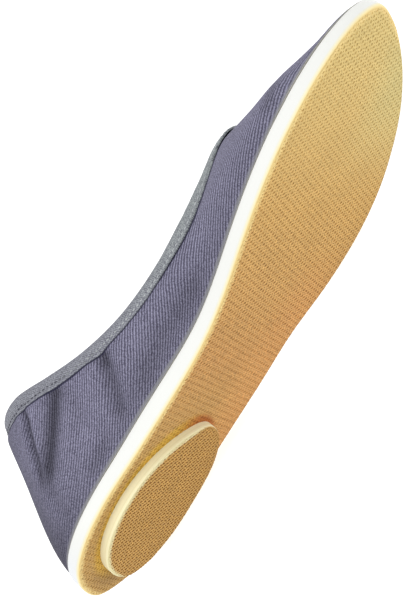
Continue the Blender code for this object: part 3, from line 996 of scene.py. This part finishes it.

# Twill of the upper: bold ribs, each broken into short yarns, painted paler on top with painted shade
# between.
# Painted shade also darkens the cloth near its foot, at the heel's low end, where it faces the heel, and in
# the creases;
# a painted shadow lines the tape's lower edge, and the toe is painted lighter.
# Four numbers are a range of places and the values at its two ends.
twillSet = {
    "roughness": 0.85,
    "gloss": 0.2,
    # rib: a rib's top with painted light; groove: painted shade between ribs; shade: painted shadow under
    # the tape
    "rib": (152, 150, 174), "grooveShade": (74, 72, 90), "foot": (136, 136, 140), "shade": (40, 40, 62),
    "waverScale": 0.35,
    "waver": 0.5,  # how far a rib wanders, in ribs
    "yarn": 1.15,  # how long a yarn is
    "yarnScale": 0.9,
    "yarnWaver": 2.0,
    "yarnDip": (0.4, 0.65),  # how much height a yarn's middle adds, and what its ends keep
    "boldness": (30, 75, 0.7, 1.0),
    "fibre": (2.4, 1.0, 0.6),
    "fibreSwing": 1.4,
    "slub": (1.1, 1.0, 0.6),
    "slubSwing": 0.7,
    "mottle": 0.22,
    # painted shade near the foot, at the heel's low end and where the wall faces the heel; painted light at
    # the toe
    "footShade": (0.0, 14.0, 0.84, 1.0),
    "toePaintedLight": (185, 215, 1.0, 1.15),
    "heelAlong": (62, 12),
    "heelLow": (46, 4),
    "heelShade": -0.3,
    "backShade": (0.15, 0.75, 1.0, 0.6),
    "footEdge": (1.3, 0.5, 0.0, 0.8),
    # painted shadow on the cloth under the tape's lower edge
    "tapeShadow": (0.4, 0.1, 0.0, 0.9),
    "bump": (0.7, 0.35),
}


def makeTwill():
    material, tree, shader = newMaterial("twill", twillSet)
    place, along = storedPlace(tree)[:2]
    layout = addNode(tree, "ShaderNodeUVMap", uv_map=upper.data.uv_layers.active.name).outputs[0]
    ribs = addNode(tree, "ShaderNodeSeparateXYZ", {0: layout})
    waver = calc(tree, "SUBTRACT", noise(tree, place, twillSet["waverScale"]), 0.5)
    over = calc(tree, "ADD", ribs.outputs[1], times(tree, waver, twillSet["waver"]))
    ridge = ripple(tree, over)
    number = calc(tree, "FLOOR", calc(tree, "ADD", over, 0.5))
    chance = addNode(tree, "ShaderNodeTexWhiteNoise", {"W": number}, noise_dimensions="1D")
    stepped = calc(tree, "DIVIDE", ribs.outputs[0], twillSet["yarn"])
    stepped = calc(tree, "ADD", stepped, chance.outputs["Value"])
    wander = noise(tree, place, twillSet["yarnScale"])
    yarn = ripple(tree, calc(tree, "MULTIPLY_ADD", wander, twillSet["yarnWaver"], stepped))
    bold = ease(tree, along, *twillSet["boldness"])
    ridge = calc(tree, "MULTIPLY_ADD", calc(tree, "SUBTRACT", ridge, 0.5), bold, 0.5)
    height = times(tree, ridge, calc(tree, "MULTIPLY_ADD", yarn, *twillSet["yarnDip"]))
    fibre = aboutZero(tree, noise(tree, place, *twillSet["fibre"]), twillSet["fibreSwing"])
    slub = aboutZero(tree, noise(tree, place, *twillSet["slub"]), twillSet["slubSwing"])
    height = calc(tree, "ADD", height, calc(tree, "ADD", fibre, slub))
    # painted light on the rib tops and painted shade in the grooves
    colour = blend(tree, height, twillSet["grooveShade"], twillSet["rib"])
    mottle = useGroup(tree, mottleGroup, {"Place": place, "Spread": twillSet["mottle"]})
    footGap = storedValue(tree, "footGap")
    # painted shade near the foot, at the heel's low end and where the wall faces the heel, and painted
    # light at the toe
    low = ease(tree, footGap, *twillSet["footShade"])
    low = times(tree, low, ease(tree, along, *twillSet["toePaintedLight"]))
    heelEnd = ease(tree, along, *twillSet["heelAlong"])
    heelEnd = times(tree, heelEnd, ease(tree, footGap, *twillSet["heelLow"]))
    low = times(tree, low, calc(tree, "MULTIPLY_ADD", heelEnd, twillSet["heelShade"], 1.0))
    low = times(tree, low, ease(tree, storedValue(tree, "heelward"), *twillSet["backShade"]))
    # painted shade in the crease troughs
    deep = calc(tree, "SUBTRACT", 1.0, storedValue(tree, "creaseShade"))
    tint = times(tree, times(tree, mottle, low), deep)
    grey = addNode(tree, "ShaderNodeCombineColor", {0: tint, 1: tint, 2: tint}).outputs[0]
    colour = blend(tree, 1.0, colour, grey, "MULTIPLY")
    colour = blend(tree, ease(tree, footGap, *twillSet["footEdge"]), colour, twillSet["foot"])
    # painted shadow: a dark line on the cloth under the tape's lower edge
    tapeShadowShare = ease(tree, storedValue(tree, "tapeGap"), *twillSet["tapeShadow"])
    colour = blend(tree, tapeShadowShare, colour, twillSet["shade"])
    dress(tree, shader, colour, height, *twillSet["bump"])
    return material


clothSet = {
    "roughness": 0.9,
    "gloss": 0.2,
    "mottle": 0.12,
    "bump": 0.5,
    "liningCloth": {"dark": (196, 192, 184), "pale": (222, 218, 210), "pitch": 0.8, "depth": 0.2},
    "sockCloth": {"dark": (188, 180, 164), "pale": (216, 208, 190), "pitch": 0.9, "depth": 0.25},
}


def makeWeave(name):
    cloth = clothSet[name]
    material, tree, shader = newMaterial(name, clothSet)
    place = storedPlace(tree)[0]
    height = useGroup(tree, weaveGroup, {"Place": place, "Pitch": cloth["pitch"]})
    mottle = useGroup(tree, mottleGroup, {"Place": place, "Spread": clothSet["mottle"]})
    colour = blend(tree, times(tree, height, mottle), cloth["dark"], cloth["pale"])
    dress(tree, shader, colour, height, clothSet["bump"], cloth["depth"])
    return material


tapeLook = {
    "roughness": 0.85,
    "gloss": 0.2,
    "dark": (88, 88, 98), "pale": (154, 156, 164), "throat": (170, 177, 176), "seam": (92, 92, 102),
    "pitch": 1.0,
    "fuzz": (2.0, 1.0, 0.6),
    "fuzzSwing": 0.8,
    "contrast": (0.25, 0.75),
    "throatAlong": (90, 165),
    # seam and seamBand: painted shade along the row of stitches
    "seamBand": (0.1, 0.04, 0.0, 0.3),
    "bump": (0.6, 0.2),
}


def makeTape():
    material, tree, shader = newMaterial("tapeWeave", tapeLook)
    place, along = storedPlace(tree)[:2]
    height = useGroup(tree, weaveGroup, {"Place": place, "Pitch": tapeLook["pitch"]})
    fuzz = aboutZero(tree, noise(tree, place, *tapeLook["fuzz"]), tapeLook["fuzzSwing"])
    sharp = ease(tree, calc(tree, "ADD", height, fuzz), *tapeLook["contrast"])
    atThroat = ease(tree, along, *tapeLook["throatAlong"])
    pale = blend(tree, atThroat, tapeLook["pale"], tapeLook["throat"])
    colour = blend(tree, sharp, tapeLook["dark"], pale)
    # painted shade along the stitch row, under the stitches
    offSeam = calc(tree, "SUBTRACT", storedValue(tree, "seamShare"), tapeSet["stitchShare"])
    offSeam = calc(tree, "ABSOLUTE", offSeam)
    colour = blend(tree, ease(tree, offSeam, *tapeLook["seamBand"]), colour, tapeLook["seam"])
    dress(tree, shader, colour, height, *tapeLook["bump"])
    return material


threadLook = {
    "roughness": 0.8,
    "front": (176, 180, 182), "heel": (46, 46, 58),
    "along": (85, 140),
    "patchScale": 0.25,
    "patchReach": 60.0,
}


def makeThread():
    material, tree, shader = newMaterial("thread", threadLook)
    place, along = storedPlace(tree)[:2]
    patches = noise(tree, place, threadLook["patchScale"])
    patchy = calc(tree, "MULTIPLY_ADD", patches, threadLook["patchReach"], along)
    share = ease(tree, patchy, *threadLook["along"])
    colour = blend(tree, share, threadLook["heel"], threadLook["front"])
    dress(tree, shader, colour)
    return material


foamLook = {
    "roughness": 0.55,
    "white": (227, 228, 224), "heel": (222, 225, 229), "scuff": (214, 211, 201),
    "heelAlong": (30, 5),
    "scuffs": (0.5, 4.0, 0.7),
    "scuffShare": (0.62, 0.8, 0.0, 0.5),
    "skin": (1.5, 3.0),
    "bump": (0.25, 0.15),
}


def makeFoam():
    material, tree, shader = newMaterial("whiteFoam", foamLook)
    place, along = storedPlace(tree)[:2]
    atHeel = ease(tree, along, *foamLook["heelAlong"])
    colour = blend(tree, atHeel, foamLook["white"], foamLook["heel"])
    scuffs = ease(tree, noise(tree, place, *foamLook["scuffs"]), *foamLook["scuffShare"])
    colour = blend(tree, scuffs, colour, foamLook["scuff"])
    dress(tree, shader, colour, noise(tree, place, *foamLook["skin"]), *foamLook["bump"])
    return material


rubberSet = {
    "roughness": 0.7,
    "gloss": 0.3,
    "sole": ((228, 227, 214), (236, 222, 172), (230, 204, 138)),
    "pad": ((238, 232, 194), (232, 226, 186), (226, 216, 168)),
    "sideStops": (0.0, 0.45, 0.9),
    "padTone": (188, 145, 74),
    "mottle": 0.14,
    "speckle": (1.4, 1.0, 0.6),
    "speckleAlong": (150, 215, 1.2, 0.6),
    # the painted shade in the pits fades towards the toe and is lighter at the waist
    "pitShadeToe": (160, 215),
    "pitShadeToeShare": 0.4,
    "pitShadeWaist": (95, 135, 0.75, 1.0),
    "pitShadeTint": (0.8, 1.0, 1.2),  # how much painted shade darkens a pit's red, green and blue
    "ragged": (1.7, 2.0, 0.7),
    "raggedSwing": 2.4,
    "raggedRoll": 0.1,
    "outerCut": (-2, 14, 0.0, 3.0),  # how much less of the edge is cream on the outer side
    "edgeStart": 0.4,
    "edgeEnd": 1.4,
    "skin": (2.5, 2.0, 0.6),
    "bump": (0.3, 0.12),
}
rubberLooks = {
    # pits: how strong the painted shade in the pits is
    "tanSheet": {"sides": "sole", "roll": (0.4, 0.8), "edge": 2.0, "pits": 0.0},
    "tanGrain": {"sides": "sole", "roll": (0.4, 0.8), "edge": 2.0, "pits": 0.34},
    "creamCore": {"sides": "pad", "roll": (0.95, 1.0), "edge": 0.5, "pits": 0.0},
    "treadRubber": {"sides": "pad", "roll": (0.4, 0.8), "edge": 1.4, "pits": 0.0, "tone": "padTone"},
    "treadKnurl": {"sides": "pad", "roll": (0.4, 0.8), "edge": 1.4, "pits": 0.75, "tone": "padTone"},
}


# A sole layer: cream where it looks sideways and along its edge, its own tone where it looks down, with
# painted shade in its pits
def makeRubber(name):
    look = rubberLooks[name]
    edge, pits = look["edge"], look["pits"]
    material, tree, shader = newMaterial(name, rubberSet)
    place, along, sideways = storedPlace(tree)
    tone = rubberSet[look["tone"]] if "tone" in look else useGroup(tree, toneGroup, {})
    mottle = useGroup(tree, mottleGroup, {"Place": place, "Spread": rubberSet["mottle"]})
    speckle = calc(tree, "SUBTRACT", noise(tree, place, *rubberSet["speckle"]), 0.5)
    speckle = calc(tree, "MULTIPLY_ADD", speckle, ease(tree, along, *rubberSet["speckleAlong"]), 1.0)
    tint = times(tree, mottle, speckle)
    # painted shade in the pits, fading towards the toe and lighter at the waist
    pitShadeFade = ease(tree, along, *rubberSet["pitShadeToe"], pits, pits * rubberSet["pitShadeToeShare"])
    pitShadeFade = times(tree, pitShadeFade, ease(tree, along, *rubberSet["pitShadeWaist"]))
    sunk = times(tree, storedValue(tree, "sunk"), pitShadeFade)
    darks = [calc(tree, "MULTIPLY_ADD", sunk, -part, 1.0) for part in rubberSet["pitShadeTint"]]
    tints = [times(tree, tint, dark) for dark in darks]
    shade = addNode(tree, "ShaderNodeCombineColor", dict(enumerate(tints))).outputs[0]
    tone = blend(tree, 1.0, tone, shade, "MULTIPLY")
    down = storedValue(tree, "facingDown")
    side = ramp(tree, down, list(zip(rubberSet["sideStops"], rubberSet[look["sides"]])))
    ragged = aboutZero(tree, noise(tree, place, *rubberSet["ragged"]), rubberSet["raggedSwing"])
    inward = calc(tree, "MULTIPLY_ADD", ragged, edge, storedValue(tree, "edgeGap"))
    inward = calc(tree, "ADD", inward, ease(tree, sideways, *rubberSet["outerCut"]))
    rolled = ease(tree, calc(tree, "MULTIPLY_ADD", ragged, rubberSet["raggedRoll"], down), *look["roll"])
    inside = ease(tree, inward, edge * rubberSet["edgeStart"], edge * rubberSet["edgeEnd"])
    colour = blend(tree, times(tree, rolled, inside), side, tone)
    dress(tree, shader, colour, noise(tree, place, *rubberSet["skin"]), *rubberSet["bump"])
    return material


finishPiece(upper, [makeTwill(), makeWeave("liningCloth")], "upper")
finishPiece(tape, [makeTape()], "collar_binding")
finishPiece(stitching, [makeThread()])
finishPiece(foam, [makeFoam()], "midsole")
finishPiece(sheet, [makeRubber("tanSheet")], "outsole")
finishPiece(grain, [makeRubber("tanGrain")])
finishPiece(core, [makeRubber("creamCore")], "heel_lift")
finishPiece(tread, [makeRubber("treadRubber")], "heel_tread")
finishPiece(knurl, [makeRubber("treadKnurl")])
finishPiece(sock, [makeWeave("sockCloth")], "insole")

# Light, in metres and watts: a white surround, a soft key from the heel side and above, a fill on the
# sole, and a light in front of the toe
lightSet = {
    "world": 0.58,
    "key": {"place": (-0.6, 0.1, 1.1), "size": 0.7, "power": 8.0},
    "fill": {"place": (0.25, -1.2, 0.5), "size": 1.0, "power": 4.0},
    "toe": {"place": (0.9, 0.1, 0.8), "size": 0.8, "power": 4.0},
}
white = (1, 1, 1, 1)


def addLight(name):
    light = lightSet[name]
    data = bpy.data.lights.new(name, "AREA")
    data.size = light["size"]
    data.energy = light["power"]
    lamp = bpy.data.objects.new(name, data)
    bpy.context.scene.collection.objects.link(lamp)
    lamp.location = light["place"]
    lamp.rotation_euler = (-Vector(light["place"])).to_track_quat("-Z", "Y").to_euler()


for lightName in ("key", "fill", "toe"):
    addLight(lightName)
world = bpy.data.worlds.new("studio")
bpy.context.scene.world = world
world.use_nodes = True
surround = world.node_tree.nodes["Background"]
surround.inputs["Color"].default_value = white
surround.inputs["Strength"].default_value = lightSet["world"]
bpy.context.scene.view_settings.view_transform = "Standard"

# Floor: white, with a glow of its own that keeps the shadow pale
floorSet = {"metres": 6, "grey": (0.6, 0.6, 0.6, 1), "glow": 0.68, "roughness": 0.9, "gloss": 0.0}
deselectAll()
bpy.ops.mesh.primitive_plane_add(size=floorSet["metres"], location=(0, 0, 0))
floor = bpy.context.active_object
floor.name = "floor"
floorMaterial, floorShader = newMaterial("whiteFloor", floorSet)[::2]
floorShader.inputs["Base Color"].default_value = floorSet["grey"]
floorShader.inputs["Emission Color"].default_value = white
floorShader.inputs["Emission Strength"].default_value = floorSet["glow"]
floor.data.materials.append(floorMaterial)

print("scene done")
